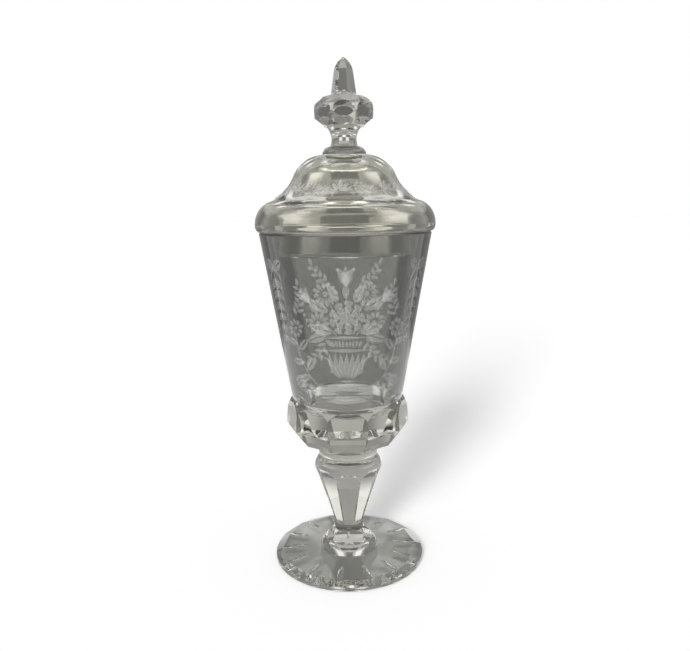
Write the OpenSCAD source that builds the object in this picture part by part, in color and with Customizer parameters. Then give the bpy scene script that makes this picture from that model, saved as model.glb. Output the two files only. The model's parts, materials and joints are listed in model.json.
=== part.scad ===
// Covered goblet of cut glass: a bevelled foot, a panelled stem and a faceted base carry a
// tapered bowl, and a domed lid with a faceted finial closes it. Millimetres, +Z up.
// The origin is the centre of the foot's underside, and -Y is the front.

/* [Foot] */
// Diameter of the foot
foot_d = 86.4; // [80:0.2:94]
// Height of the rim, at the outer edge of the top face
foot_rim_h = 3.9; // [3.4:0.1:5]
// Height of the plain edge left under the bevel
foot_edge_h = 2.5; // [1:0.1:3]
// Width of the bevel flats round the rim
foot_bevel_w = 4; // [2.5:0.1:5]
// Rise of the top face from the rim to the boss
foot_rise = 1.9; // [1:0.1:3]
// Depth of the ground hollow under the foot
foot_hollow_h = 0.9; // [0.4:0.1:1.5]
// Width of the flat ring that the foot stands on
foot_ring_w = 4.5; // [3:0.1:6]
// Diameter of the round boss in the middle of the foot
boss_d = 33.6; // [31:0.2:37]
// Height of the boss above the top face
boss_h = 4.6; // [3.8:0.1:4.8]
// Radius of the boss's rounded side
boss_round = 5; // [4.9:0.1:6.5]

/* [Olive cuts in the foot] */
// Number of olive cuts, and of bevel flats between them
olive_count = 14; // [10:2:18]
// Turn of the first olive from the front
olive_turn = -9; // [-15:1:15]
// Distance from the foot's edge to the middle of an olive
olive_inset = 8.7; // [6:0.1:11]
// Depth of an olive at its middle
olive_h = 0.9; // [0.5:0.1:1.2]
// Radius of the wheel that cuts an olive along its length
olive_wheel_r = 22; // [15:0.5:26]
// Radius of the wheel's round edge, across the olive
olive_edge_r = 1.6; // [1.2:0.1:2.5]

/* [Collar on the foot] */
// Height of the faceted collar
collar_h = 6.2; // [5.4:0.1:6.4]
// Radius of the collar's rounded side before it is cut
collar_round = 7; // [6.8:0.1:8.5]
// Number of facets round the collar
collar_facets = 8; // [6:1:10]
// Height of the facets' lower ends above the boss
collar_lip_h = 0.6; // [0.3:0.1:1]
// Height of the plain neck between collar and stem
collar_neck_h = 1; // [0.5:0.1:2]

/* [Stem] */
// Height of the stem
stem_h = 43.6; // [40:0.2:52]
// Diameter of the plain neck at the stem's lower end
neck_d = 16.4; // [14.4:0.2:17]
// Height of that neck
neck_h = 3; // [2:0.1:4]
// Diameter of the stem's round shoulder
shoulder_d = 39.2; // [36:0.2:42]
// Radius of the shoulder's rounding
shoulder_round = 5; // [4:0.1:6]
// Number of panels round the stem
stem_panels = 8; // [6:1:10]
// Width of the arched head of a panel
panel_w = 17; // [16:0.2:20]
// Distance from the widest part of the shoulder down to the panels' heads
panel_drop = 0.5; // [0:0.1:2]

/* [Ring under the bowl] */
// Height of the round ring between stem and bowl base
ring_h = 5; // [4:0.1:6]

/* [Bowl base] */
// Diameter of the base across its facets' edges
base_d = 70.2; // [68:0.2:76]
// Height of the base
base_h = 31.2; // [28:0.2:36]
// Height of the base's rounded shoulder, below the bowl
base_shoulder_h = 12.2; // [10:0.1:14]
// Height of the girdle, where the upper and middle facets meet
base_girdle_h = 15.1; // [14:0.1:16]
// Radius at the chine, where the middle and lower facets meet
base_chine_r = 26.1; // [25:0.1:27]
// Height of the chine
base_chine_h = 5.5; // [5:0.1:6.4]
// Radius at the lower ends of the lower facets
base_keel_r = 17; // [16.4:0.1:18]
// Height of those lower ends
base_keel_h = 1.2; // [0.8:0.1:1.6]
// Number of facets in each row
base_facets = 10; // [8:1:12]
// Width of the ledge that the upper facets leave round the bowl
base_ledge = 0.8; // [0.4:0.1:1.2]
// Depth of the dished floor of the bowl, sunk in the base
dish_h = 8.6; // [7:0.1:10]
// Radius of the rounding round that floor
dish_round = 6.5; // [5:0.1:6.9]

/* [Bowl] */
// Height of the bowl's wall
bowl_h = 91.8; // [80:0.2:104]
// Diameter of the wall at its foot
bowl_foot_d = 62.8; // [58:0.2:66]
// Diameter of the wall at the rim
bowl_rim_d = 94.2; // [86:0.2:102]
// Thickness of the wall at its foot
bowl_foot_wall = 7.7; // [6:0.1:9]
// Thickness of the wall at the rim
bowl_rim_wall = 6.5; // [5:0.1:7.5]
// Width of the softened edges of the rim
rim_soft = 0.6; // [0.3:0.1:1.2]

/* [Lid] */
// Gap between the bowl's rim and the lid's seat
seat_gap = 0.2; // [0.1:0.05:0.4]
// Height of the lid's dome above its seat
lid_h = 40.7; // [37:0.2:46]
// Distance that the lid stands out past the bowl's rim
lid_overhang = 2; // [1.6:0.1:4.5]
// Thickness of the dome
lid_wall = 4.5; // [3.5:0.1:5]
// Thickness of the seat, inside the rim
lid_seat_h = 4.2; // [3.4:0.1:5]
// Radius of the rim's rounded underside
lid_rim_round = 3.2; // [2.4:0.1:4]
// Height of the widest part of the rim
lid_edge_h = 4.3; // [4:0.1:6]
// Radius of the dome's lower shoulder
lid_shoulder_round = 13.6; // [12:0.1:15]
// Radius of the dome's hollow waist
lid_waist_round = 25; // [20:0.5:32]
// Radius of the dome's crown
lid_crown_round = 17; // [15:0.1:19]
// Depth of the flange that drops into the bowl
flange_h = 11.4; // [8:0.2:16]
// Thickness of the flange
flange_wall = 3; // [2.2:0.1:4]
// Gap between the bowl's wall and the flange's lower edge
flange_gap = 0.5; // [0.3:0.1:1]
// Taper of the flange, from its root to its lower edge
flange_taper = 0.8; // [0:0.1:1]

/* [Finial] */
// Diameter of the round collar on the dome
finial_collar_d = 24; // [21:0.2:26]
// Height, and rounding, of that collar
finial_collar_h = 4.4; // [3.6:0.1:4.8]
// Diameter of the neck's waist
finial_waist_d = 13.6; // [12:0.2:14]
// Radius of the neck's hollow side
finial_neck_round = 9.1; // [7:0.1:12]
// Diameter where the neck meets the knop
knop_foot_d = 18.8; // [18:0.2:20.4]
// Diameter of the knop before it is cut
knop_d = 33; // [30:0.2:33.2]
// Radius of the knop's rounded side
knop_round = 7.8; // [7.2:0.1:8.4]
// Number of facets in each row on the knop
knop_facets = 8; // [6:1:10]
// Depth of the middle row of facets
knop_cut = 1; // [0.7:0.1:1.2]
// Depth of the upper and lower rows of facets
knop_slant_cut = 0.6; // [0.4:0.1:0.8]
// Slope of the upper and lower rows, as the angle from the middle row round the knop's side
knop_slant = 50; // [46:1:54]
// Turn of the upper row of facets from the middle row
knop_turn = 12; // [0:1:22]
// Diameter of the spire's round base
spire_base_d = 17.6; // [17.4:0.2:19]
// Height of the spire
spire_h = 19.9; // [17:0.1:25]
// Number of sides on the spire
spire_sides = 6; // [5:1:8]
// Turn of the spire's sides from the front
spire_turn = -14; // [-30:1:30]
// Width across the spire's sides at its base
spire_low_w = 12.4; // [10.4:0.2:13.4]
// Width across the spire's sides where the point begins
spire_high_w = 9.2; // [7:0.2:10]
// Height of the rounded point
spire_point_h = 7.4; // [6:0.1:9]
// Width of the small flat at the very tip
spire_tip_w = 0.8; // [0.4:0.1:1.6]

/* [Hidden] */
$fn = 128;
clear_glass = [0.80, 0.81, 0.77];
// Length that takes a cutting wheel's flat clear past any piece
reach = 200;
// How far sharp edges between facets lie below the turned surface
arris = 0.1;
// Softened lower edge of the foot, and lower edges of the flange
foot_soft = 0.6;
flange_soft = 0.5;
// Drop of the flange's root below the lid's seat
root_h = 0.8;
// Spread of the round foot of the spire past its sides
spire_flare = 2.4;
// Width of the narrow ledge that facets leave where they end beside a neck
neck_ledge = 0.3;
// Glass that the base's facets take off where two of them meet
base_spare = 0.6;

// Radius of an arc that starts square to a line and leaves it by `drop` over a length of `run`
function arc_radius(drop, run) = (drop * drop + run * run) / (2 * drop);
// A way of length 1
function unit(way) = way / norm(way);
// Outward lean of the line between two points of a half profile
function lean_of(low, high) = atan2(high[0] - low[0], high[1] - low[1]);
// Half chord of a circle at a distance from its centre
function half_chord(radius, distance) = sqrt(radius * radius - distance * distance);
// Point where the outer tangent from `point` meets a circle
function tangent_point(point, centre, radius) =
    let (
        way = centre - point,
        length = half_chord(norm(way), radius),
        lean = atan2(way[0], way[1]) + asin(radius / norm(way))
    )
    point + length * [sin(lean), cos(lean)];
// Centre of the circle that lies outside two others, at the given distances from their centres
function outer_centre(centre_a, centre_c, distance_a, distance_c) =
    let (
        span = norm(centre_c - centre_a),
        along = (centre_c - centre_a) / span,
        step = (distance_a * distance_a - distance_c * distance_c + span * span) / (2 * span)
    )
    centre_a + step * along + half_chord(distance_a, step) * [-along[1], along[0]];

// Radii and heights of the foot, collar and stem
foot_r = foot_d / 2;
foot_top_h = foot_rim_h + foot_rise;
boss_r = boss_d / 2;
boss_top_r = boss_r - boss_round + half_chord(boss_round, boss_h);
olive_r = foot_r - olive_inset;
olive_top_h = foot_rim_h + foot_rise * olive_inset / (foot_r - boss_r);
neck_r = neck_d / 2;
collar_z = foot_top_h + boss_h;
collar_top_r = neck_r + neck_ledge;
stem_z = collar_z + collar_h + collar_neck_h;
shoulder_r = shoulder_d / 2;
shoulder_h = stem_h - shoulder_round;
stem_top_r = shoulder_r - shoulder_round;
stem_flank = tangent_point([neck_r, neck_h], [stem_top_r, shoulder_h], shoulder_round);
panel_share = cos(180 / stem_panels);
panel_low = [(neck_r - arris) * panel_share, neck_h];
panel_high = [(stem_flank[0] - arris) * panel_share, stem_flank[1]];

// Radii and heights of the bowl and its base
ring_z = stem_z + stem_h;
base_z = ring_z + ring_h;
base_r = base_d / 2;
bowl_z = base_z + base_h;
bowl_foot_r = bowl_foot_d / 2;
bowl_rim_r = bowl_rim_d / 2;
bowl_foot_in_r = bowl_foot_r - bowl_foot_wall;
bowl_rim_in_r = bowl_rim_r - bowl_rim_wall;
base_shoulder_round = arc_radius(base_r - bowl_foot_r, base_shoulder_h);
base_facet_share = cos(180 / base_facets);
base_keel = [base_keel_r, base_keel_h];
base_chine = [base_chine_r, base_chine_h];
base_girdle = [(base_r - arris) * base_facet_share, base_girdle_h];
base_crown = [bowl_foot_r + base_ledge, base_h];
dish_low_h = base_h - dish_h;
dish_lean = lean_of([bowl_foot_in_r, 0], [bowl_rim_in_r, bowl_h]);
dish_centre_r = bowl_foot_in_r - (dish_h - dish_round) * tan(dish_lean) - dish_round / cos(dish_lean);
dish_centre = [dish_centre_r, dish_low_h + dish_round];
dish_side = dish_centre + dish_round * [cos(dish_lean), -sin(dish_lean)];

// Radii and heights of the lid
lid_z = bowl_z + bowl_h + seat_gap;
lid_r = bowl_rim_r + lid_overhang;
crown_r = finial_collar_d / 2;
crown_centre = [crown_r, lid_h - lid_crown_round];
lid_shoulder_centre = [lid_r - lid_shoulder_round, lid_edge_h];
waist_centre = outer_centre(crown_centre, lid_shoulder_centre,
                            lid_crown_round + lid_waist_round, lid_shoulder_round + lid_waist_round);
flange_low_share = (bowl_h + seat_gap - flange_h) / bowl_h;
flange_low_r = bowl_foot_in_r + (bowl_rim_in_r - bowl_foot_in_r) * flange_low_share - flange_gap;
flange_root_r = flange_low_r + flange_taper;
flange_in_r = flange_low_r - flange_wall;

// Radii and heights of the finial
finial_collar_z = lid_z + lid_h;
finial_collar_top_r = crown_r - finial_collar_h;
finial_neck_z = finial_collar_z + finial_collar_h;
waist_r = finial_waist_d / 2;
knop_foot_r = knop_foot_d / 2;
neck_below = half_chord(finial_neck_round, finial_neck_round + waist_r - finial_collar_top_r);
neck_above = half_chord(finial_neck_round, finial_neck_round + waist_r - knop_foot_r);
knop_z = finial_neck_z + neck_below + neck_above;
knop_r = knop_d / 2;
knop_centre_r = knop_r - knop_round;
spire_base_r = spire_base_d / 2;
knop_below = half_chord(knop_round, knop_foot_r - knop_centre_r);
knop_above = half_chord(knop_round, spire_base_r - knop_centre_r);
knop_h = knop_below + knop_above;
spire_z = knop_z + knop_h;

// The spire's side as a half profile: a straight taper, then an arc that runs on from it to the tip
spire_low = [spire_low_w / 2, 0];
spire_high = [spire_high_w / 2, spire_h - spire_point_h];
spire_rod_r = spire_low[0] / cos(180 / spire_sides);
spire_lean = lean_of(spire_low, spire_high);
spire_inward = [-cos(spire_lean), sin(spire_lean)];
spire_last = [spire_tip_w / 2, spire_h] - spire_high;
spire_arc = spire_last * spire_last / (2 * spire_last * spire_inward);
spire_arc_centre = spire_high + spire_arc * spire_inward;

// A turned body: the children are its half profile, with X as radius and Y as height
module turned() {
    rotate_extrude() children();
}

// Half profile from z0 to z1 whose side is an arc, widest at radius r and height z
module round_side(r, round, z, z0, z1) {
    intersection() {
        union() {
            translate([r - round, z]) circle(round);
            translate([0, z0]) square([r - round, z1 - z0]);
        }
        translate([0, z0]) square([r, z1 - z0]);
    }
}

// Copies of one cut round the axis, the first at `turn` from the front
module around(count, turn = 0) {
    for (i = [0 : count - 1]) rotate(turn + i * 360 / count) children();
}

// A flat facet at the front, through two points of a half profile: all outside it is cut off
module flat_cut(low, high) {
    translate([0, -low[0], low[1]])
        rotate([lean_of(low, high), 0, 0])
            translate([-reach, -2 * reach, -reach]) cube(2 * reach);
}

// A flat panel with an arched head at the front, from the first point up the line to `top`
module panel_cut(low, high, top) {
    length = (top - low[1]) / cos(lean_of(low, high));
    translate([0, -low[0], low[1]])
        rotate([lean_of(low, high) + 90, 0, 0])
            linear_extrude(reach) {
                translate([-panel_w / 2, 0]) square([panel_w, length - panel_w / 2]);
                translate([0, length - panel_w / 2]) circle(d = panel_w);
            }
}

// An olive at the front of the foot, as a round-edged wheel cuts it
module olive_cut() {
    translate([0, -olive_r, olive_top_h - olive_h + olive_wheel_r])
        rotate([0, 90, 0])
            rotate_extrude() translate([olive_wheel_r - olive_edge_r, 0]) circle(olive_edge_r);
}

module foot() {
    color(clear_glass) difference() {
        turned() {
            polygon([
                [0, foot_hollow_h], [foot_r - foot_soft - foot_ring_w, 0], [foot_r - foot_soft, 0],
                [foot_r, foot_soft], [foot_r, foot_rim_h], [boss_r, foot_top_h], [0, foot_top_h]
            ]);
            round_side(boss_r, boss_round, foot_top_h, foot_top_h, collar_z);
        }
        around(olive_count, olive_turn + 180 / olive_count)
            flat_cut([foot_r, foot_edge_h], [foot_r - foot_bevel_w, foot_rim_h]);
        around(olive_count, olive_turn) olive_cut();
    }
}

module foot_collar() {
    color(clear_glass) translate([0, 0, collar_z]) {
        difference() {
            turned() round_side(boss_top_r, collar_round, 0, 0, collar_h);
            around(collar_facets, 180 / collar_facets)
                flat_cut([boss_top_r, collar_lip_h], [collar_top_r, collar_h]);
        }
        cylinder(collar_h + collar_neck_h, neck_r, neck_r);
    }
}

module stem() {
    color(clear_glass) translate([0, 0, stem_z]) difference() {
        turned() {
            polygon([[0, 0], [neck_r, 0], [neck_r, neck_h], stem_flank, [0, stem_flank[1]]]);
            round_side(shoulder_r, shoulder_round, shoulder_h, stem_flank[1], stem_h);
        }
        around(stem_panels) panel_cut(panel_low, panel_high, shoulder_h - panel_drop);
    }
}

module bowl_ring() {
    color(clear_glass) translate([0, 0, ring_z])
        turned() round_side(stem_top_r + ring_h / 2, ring_h / 2, ring_h / 2, 0, ring_h);
}

module bowl_base() {
    shoulder_foot_h = base_h - base_shoulder_h;
    color(clear_glass) translate([0, 0, base_z]) difference() {
        turned() difference() {
            union() {
                polygon([
                    [0, 0], [stem_top_r, 0], [base_keel_r / base_facet_share + base_spare, base_keel_h],
                    [base_r, base_keel_h], [base_r, shoulder_foot_h], [0, shoulder_foot_h]
                ]);
                round_side(base_r, base_shoulder_round, shoulder_foot_h, shoulder_foot_h, base_h);
            }
            translate(dish_centre) circle(dish_round);
            polygon([
                [0, dish_low_h], [dish_centre_r, dish_low_h], dish_side, [bowl_foot_in_r, base_h], [0, base_h]
            ]);
        }
        around(base_facets) flat_cut(base_girdle, base_crown);
        around(base_facets) flat_cut(base_chine, base_girdle);
        around(base_facets) flat_cut(base_keel, base_chine);
    }
}

module bowl() {
    color(clear_glass) translate([0, 0, bowl_z]) turned() polygon([
        [bowl_foot_in_r, 0], [bowl_foot_r, 0], [bowl_rim_r, bowl_h - rim_soft],
        [bowl_rim_r - rim_soft, bowl_h], [bowl_rim_in_r + rim_soft, bowl_h],
        [bowl_rim_in_r, bowl_h - rim_soft]
    ]);
}

// Half profile of the dome, as an ogee of three tangent arcs, drawn in from its outside by `inset`
module dome_profile(inset, z0) {
    crown_end = crown_centre + (lid_crown_round - inset) * unit(waist_centre - crown_centre);
    shoulder_end = lid_shoulder_centre
        + (lid_shoulder_round - inset) * unit(waist_centre - lid_shoulder_centre);
    intersection() {
        difference() {
            union() {
                translate(crown_centre) circle(lid_crown_round - inset);
                translate(lid_shoulder_centre) circle(lid_shoulder_round - inset);
                polygon([
                    [0, z0], [lid_shoulder_centre[0], z0], lid_shoulder_centre, shoulder_end, crown_end,
                    crown_centre, [crown_r, lid_h - inset], [0, lid_h - inset]
                ]);
            }
            translate(waist_centre) circle(lid_waist_round + inset);
        }
        translate([0, z0]) square([lid_r, lid_h]);
    }
}

module lid_dome() {
    color(clear_glass) translate([0, 0, lid_z]) turned() {
        difference() {
            union() {
                dome_profile(0, lid_edge_h);
                translate([0, lid_rim_round]) square([lid_r, lid_edge_h - lid_rim_round]);
                round_side(lid_r, lid_rim_round, lid_rim_round, 0, lid_rim_round);
            }
            dome_profile(lid_wall, lid_seat_h);
            square([flange_in_r, lid_seat_h]);
        }
        translate([flange_in_r, -root_h]) square([flange_root_r - flange_in_r, root_h]);
    }
}

module lid_flange() {
    low_h = root_h - flange_h;
    color(clear_glass) translate([0, 0, lid_z - root_h]) turned() polygon([
        [flange_in_r, 0], [flange_in_r, low_h + flange_soft], [flange_in_r + flange_soft, low_h],
        [flange_low_r - flange_soft, low_h], [flange_low_r, low_h + flange_soft], [flange_root_r, 0]
    ]);
}

module finial_collar() {
    color(clear_glass) translate([0, 0, finial_collar_z])
        turned() round_side(crown_r, finial_collar_h, 0, 0, finial_collar_h);
}

module finial_neck() {
    color(clear_glass) translate([0, 0, finial_neck_z]) turned() difference() {
        square([knop_foot_r, neck_below + neck_above]);
        translate([waist_r + finial_neck_round, neck_below]) circle(finial_neck_round);
        translate([finial_collar_top_r, 0]) square([knop_foot_r, neck_below]);
    }
}

// A flat facet on the knop's round side, sunk by `depth`, at an angle up from the side's middle
module knop_facet(angle, depth) {
    out = [cos(angle), sin(angle)];
    low = [knop_centre_r, knop_below] + (knop_round - depth) * out;
    flat_cut(low, low + [-out[1], out[0]]);
}

module finial_knop() {
    color(clear_glass) translate([0, 0, knop_z]) difference() {
        turned() round_side(knop_r, knop_round, knop_below, 0, knop_h);
        around(knop_facets) {
            knop_facet(0, knop_cut);
            knop_facet(-knop_slant, knop_slant_cut);
        }
        around(knop_facets, knop_turn) knop_facet(knop_slant, knop_slant_cut);
    }
}

// The rounding of one of the spire's sides into its point, at the front
module point_cut() {
    translate([0, -spire_arc_centre[0], 0]) difference() {
        translate([-reach, -reach, spire_high[1]]) cube([2 * reach, reach, reach]);
        translate([0, 0, spire_arc_centre[1]]) rotate([0, 90, 0])
            cylinder(3 * reach, spire_arc, spire_arc, center = true);
    }
}

module finial_spire() {
    color(clear_glass) translate([0, 0, spire_z]) {
        difference() {
            cylinder(spire_h, spire_rod_r, spire_rod_r);
            around(spire_sides, spire_turn) {
                flat_cut(spire_low, spire_high);
                point_cut();
            }
        }
        turned() difference() {
            square([spire_base_r, spire_flare]);
            translate([spire_base_r, spire_flare]) circle(spire_flare);
        }
    }
}

foot();
foot_collar();
stem();
bowl_ring();
bowl_base();
bowl();
lid_dome();
lid_flange();
finial_collar();
finial_neck();
finial_knop();
finial_spire();
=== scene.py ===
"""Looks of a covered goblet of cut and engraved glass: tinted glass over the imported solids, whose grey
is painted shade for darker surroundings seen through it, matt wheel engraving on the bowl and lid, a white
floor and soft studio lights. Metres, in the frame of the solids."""
import bisect
import json
import math
import random

import bmesh
import bpy
from mathutils import Matrix, Vector
from mathutils.bvhtree import BVHTree


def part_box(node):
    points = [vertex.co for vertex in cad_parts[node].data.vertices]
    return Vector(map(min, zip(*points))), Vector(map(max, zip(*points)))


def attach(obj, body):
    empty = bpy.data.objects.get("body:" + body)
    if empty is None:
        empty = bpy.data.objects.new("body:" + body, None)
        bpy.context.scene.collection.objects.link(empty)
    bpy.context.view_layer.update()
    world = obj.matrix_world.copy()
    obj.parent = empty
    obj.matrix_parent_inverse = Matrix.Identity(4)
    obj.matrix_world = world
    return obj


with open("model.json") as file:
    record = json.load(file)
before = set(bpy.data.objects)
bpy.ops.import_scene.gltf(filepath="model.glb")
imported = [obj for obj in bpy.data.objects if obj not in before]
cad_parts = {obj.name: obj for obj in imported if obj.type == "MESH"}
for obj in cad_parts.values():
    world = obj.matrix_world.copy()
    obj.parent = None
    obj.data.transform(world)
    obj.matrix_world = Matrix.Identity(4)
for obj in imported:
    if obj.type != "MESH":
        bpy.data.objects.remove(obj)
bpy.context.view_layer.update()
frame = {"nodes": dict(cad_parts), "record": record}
nodes = frame["nodes"]
bodies = frame["record"]["behaviour"]["bodies"]

# Camera, fitted to the photograph's outline of the goblet
IMAGE_W = 690
FOCAL_PX = 652.5
SENSOR_W = 36.0
CAMERA_BACK = 0.3617
CAMERA_UP = 0.2001
CAMERA_PITCH = math.radians(9.89)
CAMERA_ROLL = math.radians(0.762)
AXIS_OFFSET_PX = 1.47
CLIP_START = 0.01

# Glass: the nodes of each kind, the light that passes from one outside face to another, and its waviness.
# That light is set low piece by piece as painted shade for darker surroundings seen through the glass, with a
# faint tint of its own
GLASSES_WITH_PAINTED_SHADE = {
    "foot_glass": (("foot",), (0.39, 0.39, 0.36), 0.3),
    "collar_glass": (("foot_collar", "finial_neck"), (0.41, 0.405, 0.37), 0.15),
    "ring_glass": (("bowl_ring",), (0.55, 0.545, 0.5), 0.15),
    "stem_glass": (("stem",), (0.33, 0.328, 0.3), 0.15),
    "base_glass": (("bowl_base",), (0.385, 0.38, 0.342), 0.15),
    "bowl_glass": (("bowl",), (0.143, 0.144, 0.134), 0.4),
    "lid_glass": (("lid_dome",), (0.315, 0.306, 0.257), 0.5),
    "finial_glass": (("finial_collar",), (0.2, 0.198, 0.182), 0.15),
    "knop_glass": (("finial_knop",), (0.25, 0.247, 0.224), 0.15),
    "spire_glass": (("finial_spire",), (0.345, 0.343, 0.324), 0.15),
    "flange_glass": (("lid_flange",), (0.9, 0.9, 0.87), 0.3),
}
CLEAR_TINT = (0.97, 0.97, 0.95)
CLEAR_WAVINESS = 0.3
GLASS_IOR = 1.52
STREAK_SCALE = 30
STREAK_DARK = 0.75
STREAK_PALE = 1.25
WEAR_SCALE = 300
WEAR_ROUGHNESS = 0.006
WAVE_SCALE = 45
WAVE_HEIGHT = 0.0006
GROUND_TINT = (0.8, 0.79, 0.75)
GROUND_GRAIN = 3000
GROUND_ROUGHNESS = (0.45, 0.7)

# Faces of the glass: the material slots of every node, and what tells the faces apart
OUTSIDE, SEAM, INSIDE, GROUND = range(4)
HOLLOW_NODES = ("bowl", "bowl_base", "lid_dome")
SEAT_NODES = ("bowl", "lid_dome")
FLAT_NORMAL = 0.9999
SEAM_NEAR = 1e-5
SEAT_NEAR = 0.0009
EDGE_NORMAL = -0.9

# Engraving: its matt surface, and how much of the glass it covers
CUT_GRAIN = 2500
CUT_DARK = (0.74, 0.75, 0.72)
CUT_PALE = (0.86, 0.87, 0.84)
CUT_ROUGHNESS = (0.55, 0.75)
CUT_MIDDLE = 0.5
CUT_SPECKLE = (0.75, 1.2)
BOWL_COVER = 0.32
LID_COVER = 0.45

# Walls that the engraving follows
MM = 0.001
FRONT = -math.pi / 2
FAR = 1.0
WALL_STEPS = 60
WALL_MARGIN = 0.001

# A cut, in millimetres: a low lens on the glass, let into it below
CUT_RISE = 0.12
CUT_SINK = 0.08
CUT_EDGE = 0.02
FLANK_SHARE = 0.55
FLANK_LIFT = CUT_EDGE + 0.75 * CUT_RISE
FLANK_PAINTED_HIGHLIGHT = 0.25
# Points of its section: share of the half width, lift off the glass, and 1 at the edges,
# where a painted highlight makes it whitest
CUT_SECTION = (
    (1.0, CUT_EDGE, 1.0),
    (FLANK_SHARE, FLANK_LIFT, FLANK_PAINTED_HIGHLIGHT),
    (0.0, CUT_EDGE + CUT_RISE, 0.0),
    (-FLANK_SHARE, FLANK_LIFT, FLANK_PAINTED_HIGHLIGHT),
    (-1.0, CUT_EDGE, 1.0),
    (0.0, -CUT_SINK, 0.0),
)
CUT_TOP_SIDES = 4
CUT_STEPS = 8
DOT_STEPS = 6

# Flowers and leaves, with turns and leans in degrees
TULIP_LEANS = (-26, 26, 0)
TWIG_LEAN = 48
BLADE_LEAN = 17
RIBBON_LEAN = 62
DROP_LEAN = 42
# Rings of petals: share of the radius, number of petals, and turn
ROSE_RINGS = ((1.0, 9, 0), (0.7, 7, 25), (0.44, 5, 10))
# Lobes of a leaf: turn, and share of the leaf's size
VINE_LOBES = ((-78, 0.62), (-40, 0.86), (0, 1.0), (40, 0.86), (78, 0.62))

# Plan of the bowl's front, in millimetres across from its middle and up from its foot
TUFTS = (-25, -20, -15, 15, 20, 25)
TUFT_UP = 9
BLADE_LENGTHS = (3.5, 6.5)
VASE_TOP = 40
STALK_TIPS = ((-13, 47), (13, 48), (-9.5, 61), (10, 62), (0, 66))
BERRIES = ((-21, 48), (-22.5, 51), (21, 49), (22.5, 52), (-4, 75), (4, 75))
MOUND_WIDTH = 3.2
# Strokes of the mound: middle and length
MOUND_STROKES = (
    ((-16, 8), 26), ((16, 8), 26), ((0, 5.6), 34), ((-10, 10.4), 24),
    ((10, 10.4), 24), ((0, 12.6), 26), ((0, 3.6), 24),
)
# Leaves: base, direction in degrees from right to up, and length
BOUQUET_LEAVES = (
    ((-7, 42), 165, 13), ((7, 42), 15, 13), ((-9, 53), 150, 12), ((9, 54), 30, 12),
    ((-4, 58), 118, 11), ((4, 58), 62, 11), ((-15, 52), 118, 10), ((15, 53), 62, 10),
    ((-10, 41), 200, 12), ((10, 41), -20, 12), ((0, 60), 90, 8),
)
BRANCH_LEAVES = (
    ((20, 17), -20, 10), ((24, 24), 5, 9), ((22, 20), 120, 9), ((27, 31), 130, 9), ((28, 34), 20, 8),
)

# Leafy drop on each side of the bowl, in millimetres up from its foot
DROP_TURN = math.radians(58)
DROP_TOP = 74
DROP_BOTTOM = 32
DROP_TIERS = 6

# Vine round the lid, between two heights above the seat
VINE_LOW = 0.0178
VINE_HIGH = 0.0268
VINE_REPEATS = 8
VINE_START = 0.3
# Twigs: share of one repeat, and direction in degrees
VINE_TWIGS = ((0.42, -60), (0.05, -70), (0.8, 65), (0.36, 60))

# Floor and background
WHITE = (1, 1, 1, 1)
STUDIO_GREY = (0.26, 0.26, 0.26, 1)
FLOOR_PAINT = (0.95, 0.95, 0.95, 1)
FLOOR_GLOW = 0.4
FLOOR_DROP = 0.0004
FLOOR_SIZE = 30.0

# Panels that show in the glass, placed round a centre
LIGHT_CENTRE = Vector((0, 0, 0.14))
SOFT_FADE = 0.3
FIRM_FADE = 0.08
# Settings: turn and rise in degrees, distance, size, level, and the share of it that fades at each edge
SIDE_PANELS = {
    "box": (105, 36, 1.3, (1.2, 1.0), 3.2, SOFT_FADE),
    "strip": (25, -35, 0.2, (0.06, 0.055), 2.6, SOFT_FADE),
    "back": (10.5, 9.5, 1.5, (0.3, 0.55), 2.2, SOFT_FADE),
    "top": (60, 70, 1.2, (0.7, 0.5), 3.6, SOFT_FADE),
    "card": (37, 4, 0.43, (0.34, 0.36), 0.36, FIRM_FADE),
    "slip": (15, 25, 1.5, (0.36, 0.3), 0.2, FIRM_FADE),
    "line": (27, 34, 1.6, (0.4, 0.24), 3, SOFT_FADE),
}
MIDDLE_PANELS = {
    "back_mid": (0, 24, 1.6, (0.3, 0.28), 4, SOFT_FADE),
    "card_mid": (0, 9, 1.45, (0.2, 0.42), 0.38, FIRM_FADE),
    "back_high": (0, 54, 1.5, (1.1, 0.35), 3.2, SOFT_FADE),
}

# Key light from the front left: soft suns, one above another
KEY_TURN = -159
KEY_RISES = (12, 23, 34)
KEY_STRENGTH = 1.05
KEY_WIDTH = math.radians(14)

# Bounces of light: in all and through glass, in gloss, and through clear seams
GLASS_BOUNCES = 32
GLOSS_BOUNCES = 16
CLEAR_BOUNCES = 64

# Small differences, as in work by hand
HAND_SEED = 7
hand = random.Random(HAND_SEED)


def make_camera():
    """The camera at the photograph's viewing angle."""
    data = bpy.data.cameras.new("camera")
    data.sensor_width = SENSOR_W
    data.lens = FOCAL_PX / IMAGE_W * SENSOR_W
    data.clip_start = CLIP_START
    camera = bpy.data.objects.new("camera", data)
    bpy.context.scene.collection.objects.link(camera)
    yaw = math.atan(AXIS_OFFSET_PX / FOCAL_PX)
    turn = Matrix.Rotation(yaw, 4, "Z")
    tilt = Matrix.Rotation(math.pi / 2 - CAMERA_PITCH, 4, "X")
    roll = Matrix.Rotation(-CAMERA_ROLL, 4, "Z")
    camera.matrix_world = Matrix.Translation((0, -CAMERA_BACK, CAMERA_UP)) @ turn @ tilt @ roll
    bpy.context.scene.camera = camera


def new_material(name):
    """A material with an emptied node tree and its output node."""
    material = bpy.data.materials.new(name)
    material.use_nodes = True
    tree = material.node_tree
    tree.nodes.clear()
    output = tree.nodes.new("ShaderNodeOutputMaterial")
    return material, tree, output


def principled_material(name):
    """A material with one Principled shader, its node tree and the shader."""
    material, tree, output = new_material(name)
    shader = tree.nodes.new("ShaderNodeBsdfPrincipled")
    tree.links.new(shader.outputs["BSDF"], output.inputs["Surface"])
    return material, tree, shader


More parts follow.
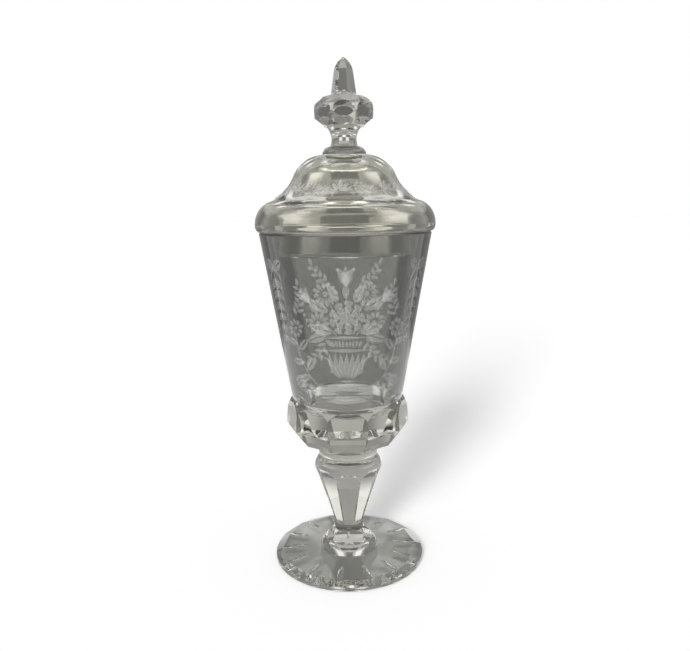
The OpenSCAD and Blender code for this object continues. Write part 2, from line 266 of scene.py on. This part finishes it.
def noise(tree, scale, detail):
    """Noise in the object's own coordinates, at `scale` waves per metre."""
    place = tree.nodes.new("ShaderNodeTexCoord")
    texture = tree.nodes.new("ShaderNodeTexNoise")
    texture.inputs["Scale"].default_value = scale
    texture.inputs["Detail"].default_value = detail
    tree.links.new(place.outputs["Object"], texture.inputs["Vector"])
    return texture.outputs["Fac"]


def spread(tree, value, low, high):
    """Maps a value from 0 to 1 to a range, and keeps it there."""
    node = tree.nodes.new("ShaderNodeMapRange")
    node.inputs["To Min"].default_value = low
    node.inputs["To Max"].default_value = high
    tree.links.new(value, node.inputs["Value"])
    return node.outputs["Result"]


def blend(tree, value, low, high):
    """Maps a value from 0 to 1 to a colour between two colours."""
    node = tree.nodes.new("ShaderNodeMix")
    node.data_type = "RGBA"
    node.inputs["A"].default_value = (*low, 1)
    node.inputs["B"].default_value = (*high, 1)
    tree.links.new(value, node.inputs["Factor"])
    return node.outputs["Result"]


def math_node(tree, operation, first, second=None):
    """The result of an operation on one or two values."""
    node = tree.nodes.new("ShaderNodeMath")
    node.operation = operation
    for value, socket in zip((first, second), node.inputs):
        if value is not None:
            tree.links.new(value, socket)
    return node.outputs["Value"]


def bump(tree, height, strength, distance):
    """A bump from a height, as a normal."""
    node = tree.nodes.new("ShaderNodeBump")
    node.inputs["Strength"].default_value = strength
    node.inputs["Distance"].default_value = distance
    tree.links.new(height, node.inputs["Height"])
    return node.outputs["Normal"]


def glass_material(name, tint_and_painted_shade, waviness):
    """Polished old glass: a tint, which holds painted shade on the outside faces, with faint cloudy streaks,
    soft waves and light wear.
    """
    material, tree, shader = principled_material(name)
    shader.inputs["Transmission Weight"].default_value = 1.0
    shader.inputs["IOR"].default_value = GLASS_IOR
    dark = [STREAK_DARK * part for part in tint_and_painted_shade]
    pale = [STREAK_PALE * part for part in tint_and_painted_shade]
    streaks = blend(tree, noise(tree, STREAK_SCALE, detail=2), dark, pale)
    tree.links.new(streaks, shader.inputs["Base Color"])
    wear = spread(tree, noise(tree, WEAR_SCALE, detail=3), 0.0, WEAR_ROUGHNESS)
    tree.links.new(wear, shader.inputs["Roughness"])
    waves = bump(tree, noise(tree, WAVE_SCALE, detail=1), waviness, WAVE_HEIGHT)
    tree.links.new(waves, shader.inputs["Normal"])
    return material


def seam_material():
    """Glass fused to glass: nothing shows inside one body where two of its pieces meet."""
    material, _, shader = principled_material("fused_seam")
    shader.inputs["Alpha"].default_value = 0.0
    return material


def ground_material():
    """Glass with a ground, unpolished face, which scatters light."""
    material, tree, shader = principled_material("ground_glass")
    shader.inputs["Base Color"].default_value = (*GROUND_TINT, 1)
    shader.inputs["Transmission Weight"].default_value = 1.0
    shader.inputs["IOR"].default_value = GLASS_IOR
    grain = noise(tree, GROUND_GRAIN, detail=2)
    tree.links.new(spread(tree, grain, *GROUND_ROUGHNESS), shader.inputs["Roughness"])
    return material


def engraved_material(name, cover):
    """Wheel-cut glass: matt, pale and half clear, and whitest along the edges of each cut, where a highlight
    is painted.
    """
    material, tree, shader = principled_material(name)
    grain = noise(tree, CUT_GRAIN, detail=2)
    tree.links.new(blend(tree, grain, CUT_DARK, CUT_PALE), shader.inputs["Base Color"])
    tree.links.new(spread(tree, grain, *CUT_ROUGHNESS), shader.inputs["Roughness"])
    edge = tree.nodes.new("ShaderNodeAttribute")
    edge.attribute_name = "cut_edge"
    # Painted highlight: more of the pale cut covers the glass along the edges of each cut than in its middle.
    painted_edge_highlight = spread(tree, edge.outputs["Fac"], CUT_MIDDLE * cover, cover)
    speckle = spread(tree, grain, *CUT_SPECKLE)
    tree.links.new(math_node(tree, "MULTIPLY", painted_edge_highlight, speckle), shader.inputs["Alpha"])
    return material


def middle(node):
    """The middle of a node's box."""
    low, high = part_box(node)
    return (Vector(low) + Vector(high)) / 2


def face_slot(name, face, seams, hollow, seat):
    """The slot of one face: no seam where pieces are fused, ground at the lid's seat and under its flange,
    clear towards a hollow, and tinted outside, where the tint holds painted shade."""
    flat = abs(face.normal.z) > FLAT_NORMAL
    if flat and any(abs(face.center.z - height) < SEAM_NEAR for height in seams):
        return SEAM
    if name in SEAT_NODES and abs(face.center.z - seat) < SEAT_NEAR:
        return GROUND
    if name == "lid_flange" and face.normal.z < EDGE_NORMAL:
        return GROUND
    if name in HOLLOW_NODES and face.normal.dot(hollow - face.center) > 0:
        return INSIDE
    return OUTSIDE


def dress_glass(seam):
    """Gives every node its glass, face by face."""
    inner = glass_material("inner_glass", CLEAR_TINT, CLEAR_WAVINESS)
    ground = ground_material()
    glass_of = {}
    # Each piece's tint holds painted shade: darker or paler piece by piece for the surroundings seen through
    # it.
    for name, (members, tint_and_painted_shade, waviness) in GLASSES_WITH_PAINTED_SHADE.items():
        material = glass_material(name, tint_and_painted_shade, waviness)
        for member in members:
            glass_of[member] = material
    hollows = {"goblet": middle("bowl"), "lid": middle("lid_dome")}
    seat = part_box("bowl")[1].z
    for body, members in bodies.items():
        ends = {name: [corner.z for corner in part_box(name)] for name in members}
        for name in members:
            mesh = nodes[name].data
            mesh.materials.clear()
            for material in (glass_of[name], seam, inner, ground):
                mesh.materials.append(material)
            others = [height for other in members if other != name for height in ends[other]]
            seams = [
                height for height in ends[name]
                if any(abs(height - other) < SEAM_NEAR for other in others)
            ]
            for face in mesh.polygons:
                face.material_index = face_slot(name, face, seams, hollows[body], seat)


class Wall:
    """The outside of a turned node, unrolled. Lengths up its profile start at `low`."""

    def __init__(self, node, low, high):
        mesh = nodes[node].data
        corners = [vertex.co for vertex in mesh.vertices]
        self.tree = BVHTree.FromPolygons(corners, [face.vertices for face in mesh.polygons])
        self.heights = [low + (high - low) * i / WALL_STEPS for i in range(WALL_STEPS + 1)]
        self.radii = [self.hit(FRONT, height).xy.length for height in self.heights]
        self.lengths = [0.0]
        for i in range(WALL_STEPS):
            step = math.hypot(self.radii[i + 1] - self.radii[i], self.heights[i + 1] - self.heights[i])
            self.lengths.append(self.lengths[-1] + step)

    def hit(self, angle, height):
        """The point of the wall at an angle and a height."""
        way = Vector((math.cos(angle), math.sin(angle), 0))
        return self.tree.ray_cast(way * FAR + Vector((0, 0, height)), -way)[0]

    def point(self, angle, across, up, lift):
        """The point `across` from `angle` and `up` the profile, lifted off the glass by `lift`."""
        i = min(max(bisect.bisect(self.lengths, up) - 1, 0), WALL_STEPS - 1)
        run = self.radii[i + 1] - self.radii[i]
        rise = self.heights[i + 1] - self.heights[i]
        span = math.hypot(run, rise)
        share = (up - self.lengths[i]) / span
        turn = angle + across / (self.radii[i] + run * share)
        out = Vector((math.cos(turn), math.sin(turn), 0))
        normal = (out * rise - Vector((0, 0, run))) / span
        return self.hit(turn, self.heights[i] + rise * share) + normal * lift


class Cuts:
    """Wheel cuts on a wall, each a low closed lens, gathered into one mesh. Plans are in millimetres."""

    def __init__(self, wall, angle):
        self.wall = wall
        self.angle = angle
        self.corners = []
        self.edges = []
        self.faces = []
        self.below = []

    def corner(self, x, y, lift, edge):
        """Adds a corner and returns its number."""
        self.corners.append(self.wall.point(self.angle, x * MM, y * MM, lift * MM))
        self.edges.append(edge)
        return len(self.corners) - 1

    def lens(self, path, halves):
        """A cut along a path, with its half width at each point of the path."""
        sides = len(CUT_SECTION)
        rings = []
        for i, ((x, y), half) in enumerate(zip(path, halves)):
            if i in (0, len(path) - 1):
                rings.append([self.corner(x, y, CUT_EDGE, 1.0)] * sides)
                continue
            (x0, y0), (x1, y1) = path[i - 1], path[i + 1]
            size = math.hypot(x1 - x0, y1 - y0)
            side_x = (y0 - y1) / size * half
            side_y = (x1 - x0) / size * half
            rings.append([
                self.corner(x + share * side_x, y + share * side_y, lift, edge)
                for share, lift, edge in CUT_SECTION
            ])
        for one, two in zip(rings, rings[1:]):
            for k in range(sides):
                after = (k + 1) % sides
                loop = list(dict.fromkeys((one[k], two[k], two[after], one[after])))
                self.faces.append(loop)
                self.below.append(k >= CUT_TOP_SIDES)

    def stroke(self, start, end, width, rise=0.0, belly=1.0, steps=CUT_STEPS):
        """A lens from start to end, which bows to its left by `rise`. A larger belly is nearer the end."""
        path = bow(start, end, rise, steps)
        self.lens(path, [width / 2 * math.sin(math.pi * (i / steps) ** belly) for i in range(steps + 1)])

    def line(self, start, end, width, rise=0.0, steps=CUT_STEPS):
        """A thin cut of even width."""
        path = bow(start, end, rise, steps)
        self.lens(path, [0 if i in (0, steps) else width / 2 for i in range(steps + 1)])

    def dot(self, centre, radius):
        """A round pearl."""
        x, y = centre
        self.stroke((x - radius, y), (x + radius, y), 2 * radius, steps=DOT_STEPS)

    def finish(self, name, body, materials):
        """Makes the mesh and lets it ride on its body."""
        mesh = bpy.data.meshes.new(name)
        mesh.from_pydata(self.corners, [], self.faces)
        for material in materials:
            mesh.materials.append(material)
        mesh.attributes.new("cut_edge", "FLOAT", "POINT").data.foreach_set("value", self.edges)
        for face, hidden in zip(mesh.polygons, self.below):
            face.material_index = 1 if hidden else 0
            face.use_smooth = True
        shaped = bmesh.new()
        shaped.from_mesh(mesh)
        bmesh.ops.recalc_face_normals(shaped, faces=shaped.faces)
        shaped.to_mesh(mesh)
        shaped.free()
        piece = bpy.data.objects.new(name, mesh)
        bpy.context.scene.collection.objects.link(piece)
        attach(piece, body)


def bow(start, end, rise, steps):
    """Points of a curve from start to end that bows to its left by `rise`."""
    (x0, y0), (x1, y1) = start, end
    across = x1 - x0
    up = y1 - y0
    size = math.hypot(across, up)
    points = []
    for i in range(steps + 1):
        share = i / steps
        push = 4 * share * (1 - share) * rise / size
        points.append((x0 + across * share - up * push, y0 + up * share + across * push))
    return points


def polar(centre, way, distance):
    """The point at a distance from a centre, in the direction `way`, in degrees from right to up."""
    x, y = centre
    angle = math.radians(way)
    return x + distance * math.cos(angle), y + distance * math.sin(angle)


def daisy(cuts, centre, radius, petals, turn=0.0):
    """A flower of even petals round a pearl."""
    petal_start = 0.3 * radius
    petal_width = 0.62 * 2 * math.pi * radius / petals
    pearl = 0.24 * radius
    for i in range(petals):
        way = turn + 360 * i / petals
        reach = radius * hand.uniform(0.92, 1.06)
        cuts.stroke(polar(centre, way, petal_start), polar(centre, way, reach), petal_width, belly=1.25)
    cuts.dot(centre, pearl)


def rose(cuts, centre, radius):
    """A full flower: rings of broad petals, each turned against the last, round a pearl."""
    petal_length = 0.42 * radius
    pearl = 0.1 * radius
    for share, petals, turn in ROSE_RINGS:
        for i in range(petals):
            way = turn + 360 * i / petals
            reach = share * radius * hand.uniform(0.95, 1.05)
            petal_width = 0.78 * 2 * math.pi * reach / petals
            start = polar(centre, way, reach - petal_length)
            cuts.stroke(start, polar(centre, way, reach), petal_width, belly=1.4)
    cuts.dot(centre, pearl)


def tulip(cuts, base, way, length):
    """A closed flower of three petals on its own short stem."""
    petal_width = 0.42 * length
    stem_length = 0.5 * length
    for lean in TULIP_LEANS:
        rise = -0.004 * lean * length
        cuts.stroke(base, polar(base, way + lean, length), petal_width, rise, belly=0.8)
    cuts.line(polar(base, way + 180, stem_length), base, width=0.5)


def leaf(cuts, base, way, length, width):
    """A leaf in two halves, with a clear rib between them."""
    tip = polar(base, way, length)
    half_width = 0.44 * width
    half_bow = 0.27 * width
    for side in (1, -1):
        cuts.stroke(base, tip, half_width, side * half_bow, belly=0.85)


def vine_leaf(cuts, base, way, size):
    """A broad leaf of five lobes."""
    lobe_start = 0.06 * size
    lobe_width = 0.4 * size
    for turn, share in VINE_LOBES:
        lobe = way + turn
        cuts.stroke(polar(base, lobe, lobe_start), polar(base, lobe, share * size), lobe_width, belly=1.3)


def sprig(cuts, start, end, rise, pairs, size):
    """A curved twig with leaves on both sides, which grow smaller, and one at its tip."""
    steps = 2 * pairs
    twig = bow(start, end, rise, steps)
    leaf_width = 0.42 * size
    tip_length = 0.9 * size
    cuts.line(start, end, 0.45, rise)
    for i in range(1, steps):
        (x0, y0), (x1, y1) = twig[i], twig[i + 1]
        way = math.degrees(math.atan2(y1 - y0, x1 - x0))
        lean = TWIG_LEAN if i % 2 else -TWIG_LEAN
        length = size * (1.1 - 0.4 * i / steps)
        cuts.stroke(twig[i], polar(twig[i], way + lean, length), leaf_width)
    cuts.stroke(end, polar(end, way, tip_length), leaf_width)


def urn(cuts):
    """A fluted vase with a foot, a band, a rim and two scrolled handles, on its plan from the foot up."""
    cuts.stroke((-8, 13), (8, 13), width=2.0)
    cuts.stroke((-4, 15.4), (4, 15.4), width=1.6)
    for i in range(-3, 4):
        cuts.stroke((0.9 * i, 16.5), (3.0 * i, 31), width=3.0, rise=-0.55 * i)
    cuts.stroke((-11.5, 32.4), (11.5, 32.4), width=2.0)
    for i in range(-4, 5):
        cuts.stroke((1.6 * i, 34), (1.9 * i, 38), width=1.5)
    cuts.stroke((-10.5, 39.4), (10.5, 39.4), width=1.9)
    for side in (-1, 1):
        cuts.stroke((side * 9.5, 32), (side * 15, 29.5), width=1.3, rise=side * 1.6)
        cuts.stroke((side * 15, 29.5), (side * 8, 21), width=1.3, rise=-side * 2.6)
        cuts.dot((side * 8, 20.5), radius=0.8)


def mound(cuts):
    """A low mound with tufts of grass, under the vase."""
    for (x, y), length in MOUND_STROKES:
        cuts.stroke((x - length / 2, y), (x + length / 2, y), MOUND_WIDTH)
    for x in TUFTS:
        for i in range(-2, 3):
            tip = polar((x, TUFT_UP), 90 - BLADE_LEAN * i, hand.uniform(*BLADE_LENGTHS))
            cuts.stroke((x + 0.5 * i, TUFT_UP), tip, width=1.0, rise=0.15 * i)


def bouquet(cuts):
    """Flowers, buds, leaves and twigs that stand in the vase and spread to both sides."""
    for x, y in STALK_TIPS:
        cuts.line((0.35 * x, VASE_TOP), (x, y), width=0.6, rise=0.06 * x)
    for base, way, length in BOUQUET_LEAVES:
        leaf(cuts, base, way, length, width=0.46 * length)
    rose(cuts, (0, 50), radius=9.4)
    for side in (-1, 1):
        daisy(cuts, (side * 14.5, 47), radius=6.4, petals=11)
        daisy(cuts, (side * 10.5, 62.5), radius=6.8, petals=12, turn=10)
        tulip(cuts, (side * 19, 57.5), way=90 - side * 40, length=9)
        sprig(cuts, (side * 6, 67.5), (side * 17, 77), rise=-side * 2.0, pairs=4, size=4.6)
        sprig(cuts, (side * 10, 41), (side * 23, 25), rise=-side * 3.5, pairs=5, size=5.0)
        branch(cuts, side)
    tulip(cuts, (0, 66), way=90, length=11)
    for berry in BERRIES:
        cuts.dot(berry, radius=1.0)


def branch(cuts, side):
    """A flowering branch beside the vase, which rises from the mound."""
    cuts.line((side * 13, 10), (side * 29, 40), width=0.8, rise=-side * 4.0)
    for (x, y), way, length in BRANCH_LEAVES:
        leaf(cuts, (side * x, y), way if side > 0 else 180 - way, length, width=0.5 * length)
    daisy(cuts, (side * 29, 43), radius=5.6, petals=9, turn=20)
    daisy(cuts, (side * 28, 13), radius=4.6, petals=8)
    sprig(cuts, (side * 29, 49), (side * 26, 66), rise=side * 2.0, pairs=5, size=5.0)


def leaf_drop(cuts, top, bottom, tiers):
    """A hanging drop: a bow of ribbon, then pairs of leaves and bells that grow smaller."""
    first_tier = top - 5
    first_size = 8.5
    shrink = 4.5
    for side in (-1, 1):
        leaf(cuts, (0, top), 90 - side * RIBBON_LEAN, length=9, width=6)
        cuts.stroke((0, top), (side * 6, top - 7), width=1.4, rise=side * 1.2)
    cuts.dot((0, top), radius=1.3)
    cuts.line((0, top), (0, bottom), width=0.5, steps=2 * CUT_STEPS)
    for i in range(tiers):
        y = first_tier - (first_tier - bottom) * i / tiers
        size = first_size - shrink * i / tiers
        for side in (-1, 1):
            leaf(cuts, (0, y), -90 + side * DROP_LEAN, size, width=0.44 * size)
        cuts.stroke((0, y), (0, y - 0.8 * size), width=0.36 * size, belly=1.3)
    cuts.dot((0, bottom - 1), radius=0.9)


def garland(cuts, repeats, pitch, height):
    """A running vine: broad leaves, star flowers and twigs along a waved stem."""
    mid = height / 2
    wave = 0.12 * height
    for i in range(repeats):
        cuts.angle = FRONT + 2 * math.pi * (i - VINE_START) / repeats
        cuts.line((0, mid), (pitch / 2, mid), width=0.6, rise=wave)
        cuts.line((pitch / 2, mid), (pitch, mid), width=0.6, rise=-wave)
        vine_leaf(cuts, (0.2 * pitch, mid + 0.5), way=90, size=0.52 * height)
        vine_leaf(cuts, (0.72 * pitch, mid - 0.5), way=-90, size=0.48 * height)
        daisy(cuts, (0.55 * pitch, mid + 0.27 * height), radius=0.22 * height, petals=6, turn=15 * i)
        daisy(cuts, (0.97 * pitch, mid - 0.12 * height), radius=0.19 * height, petals=6, turn=20 * i)
        for share, way in VINE_TWIGS:
            base = (share * pitch, mid)
            cuts.stroke(base, polar(base, way, 0.34 * height), width=1.3, rise=0.4)


def engrave(seam):
    """The engraving: a vase of flowers in front, a leafy drop on each side, and a vine round the lid."""
    materials = (engraved_material("engraved_bowl", BOWL_COVER), seam)
    low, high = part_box("bowl")
    bowl = Wall("bowl", low.z + WALL_MARGIN, high.z - WALL_MARGIN)
    front = Cuts(bowl, FRONT)
    mound(front)
    urn(front)
    bouquet(front)
    front.finish("engraved_vase", "goblet", materials)
    for side, name in ((-1, "left"), (1, "right")):
        drop = Cuts(bowl, FRONT + side * DROP_TURN)
        leaf_drop(drop, DROP_TOP, DROP_BOTTOM, DROP_TIERS)
        drop.finish(f"engraved_drop_{name}", "goblet", materials)
    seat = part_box("lid_dome")[0].z
    dome = Wall("lid_dome", seat + VINE_LOW, seat + VINE_HIGH)
    vine = Cuts(dome, FRONT)
    pitch = 2 * math.pi * dome.radii[WALL_STEPS // 2] / VINE_REPEATS
    garland(vine, VINE_REPEATS, pitch / MM, dome.lengths[-1] / MM)
    vine.finish("engraved_vine", "lid", (engraved_material("engraved_lid", LID_COVER), seam))


def background_rays(tree):
    """1 for the rays that see the background: from the camera, in gloss and through glass. It is 0 for those
    that light a matt surface, through glass or not."""
    path = tree.nodes.new("ShaderNodeLightPath")
    total = path.outputs["Is Camera Ray"]
    for name in ("Is Glossy Ray", "Is Transmission Ray"):
        total = math_node(tree, "MAXIMUM", total, path.outputs[name])
    direct = spread(tree, path.outputs["Diffuse Depth"], 1.0, 0.0)
    return math_node(tree, "MULTIPLY", total, direct)


def make_world():
    """Grey studio light, with a white background for the rays that see it."""
    world = bpy.data.worlds.new("studio")
    world.use_nodes = True
    bpy.context.scene.world = world
    tree = world.node_tree
    tree.nodes.clear()
    output = tree.nodes.new("ShaderNodeOutputWorld")
    mix = tree.nodes.new("ShaderNodeMixShader")
    light = tree.nodes.new("ShaderNodeBackground")
    light.inputs["Color"].default_value = STUDIO_GREY
    white = tree.nodes.new("ShaderNodeBackground")
    white.inputs["Color"].default_value = WHITE
    tree.links.new(background_rays(tree), mix.inputs["Fac"])
    tree.links.new(light.outputs["Background"], mix.inputs[1])
    tree.links.new(white.outputs["Background"], mix.inputs[2])
    tree.links.new(mix.outputs["Shader"], output.inputs["Surface"])


def make_floor():
    """A white floor that keeps the goblet's shadow."""
    bpy.ops.mesh.primitive_plane_add(size=FLOOR_SIZE, location=(0, 0, -FLOOR_DROP))
    floor = bpy.context.object
    floor.name = "floor"
    material, tree, output = new_material("floor_white")
    mix = tree.nodes.new("ShaderNodeAddShader")
    paint = tree.nodes.new("ShaderNodeBsdfDiffuse")
    paint.inputs["Color"].default_value = FLOOR_PAINT
    glow = tree.nodes.new("ShaderNodeEmission")
    glow.inputs["Color"].default_value = WHITE
    tree.links.new(spread(tree, background_rays(tree), 0.0, FLOOR_GLOW), glow.inputs["Strength"])
    tree.links.new(paint.outputs["BSDF"], mix.inputs[0])
    tree.links.new(glow.outputs["Emission"], mix.inputs[1])
    tree.links.new(mix.outputs["Shader"], output.inputs["Surface"])
    floor.data.materials.append(material)


def compass(turn, rise):
    """A direction: its turn from straight behind, to the right, and its rise, both in degrees."""
    turn = math.radians(turn)
    rise = math.radians(rise)
    return Vector((math.sin(turn) * math.cos(rise), math.cos(turn) * math.cos(rise), math.sin(rise)))


def aim(way):
    """The rotation of a thing that stands in the direction `way` and faces the goblet."""
    return (-way).to_track_quat("-Z", "Y").to_euler()


def panel_material(name, level, fade_width):
    """Even light at `level`, which fades to the background's level of 1 along the panel's edges."""
    material, tree, output = new_material(name)
    place = tree.nodes.new("ShaderNodeTexCoord")
    split = tree.nodes.new("ShaderNodeSeparateXYZ")
    tree.links.new(place.outputs["Object"], split.inputs["Vector"])
    half = 0.5
    fades = []
    for axis in "XY":
        fade = tree.nodes.new("ShaderNodeMapRange")
        fade.interpolation_type = "SMOOTHSTEP"
        fade.inputs["From Min"].default_value = half
        fade.inputs["From Max"].default_value = half - fade_width
        tree.links.new(math_node(tree, "ABSOLUTE", split.outputs[axis]), fade.inputs["Value"])
        fades.append(fade.outputs["Result"])
    glow = tree.nodes.new("ShaderNodeEmission")
    strength = spread(tree, math_node(tree, "MULTIPLY", *fades), 1.0, level)
    tree.links.new(math_node(tree, "MULTIPLY", strength, background_rays(tree)), glow.inputs["Strength"])
    tree.links.new(glow.outputs["Emission"], output.inputs["Surface"])
    return material


def panel(name, turn, rise, distance, size, level, fade_width):
    """A studio panel that shows in the glass only: a softbox above level 1, and a dark card below it."""
    way = compass(turn, rise)
    bpy.ops.mesh.primitive_plane_add(size=1, location=LIGHT_CENTRE + distance * way)
    board = bpy.context.object
    board.name = name
    board.rotation_euler = aim(way)
    board.scale = (*size, 1)
    board.data.materials.append(panel_material(name, level, fade_width))
    board.visible_camera = False
    board.visible_diffuse = False
    board.visible_shadow = False


def soft_sun(name, way):
    """A wide, soft sun in the direction `way`, for matt surfaces and shadows only."""
    data = bpy.data.lights.new(name, "SUN")
    data.energy = KEY_STRENGTH
    data.angle = KEY_WIDTH
    lamp = bpy.data.objects.new(name, data)
    bpy.context.scene.collection.objects.link(lamp)
    lamp.location = way
    lamp.rotation_euler = aim(way)
    lamp.visible_glossy = False
    lamp.visible_transmission = False


def make_lights():
    """The panels on both sides and in the middle, and the key light."""
    for side, name in ((-1, "left"), (1, "right")):
        for kind, (turn, *rest) in SIDE_PANELS.items():
            panel(f"{kind}_{name}", side * turn, *rest)
    for name, setting in MIDDLE_PANELS.items():
        panel(name, *setting)
    for rise in KEY_RISES:
        soft_sun(f"key_{rise}", compass(KEY_TURN, rise))


make_camera()
fused = seam_material()
dress_glass(fused)
engrave(fused)
make_world()
make_floor()
make_lights()

scene = bpy.context.scene
scene.view_settings.view_transform = "Standard"
scene.cycles.max_bounces = GLASS_BOUNCES
scene.cycles.transmission_bounces = GLASS_BOUNCES
scene.cycles.glossy_bounces = GLOSS_BOUNCES
scene.cycles.transparent_max_bounces = CLEAR_BOUNCES
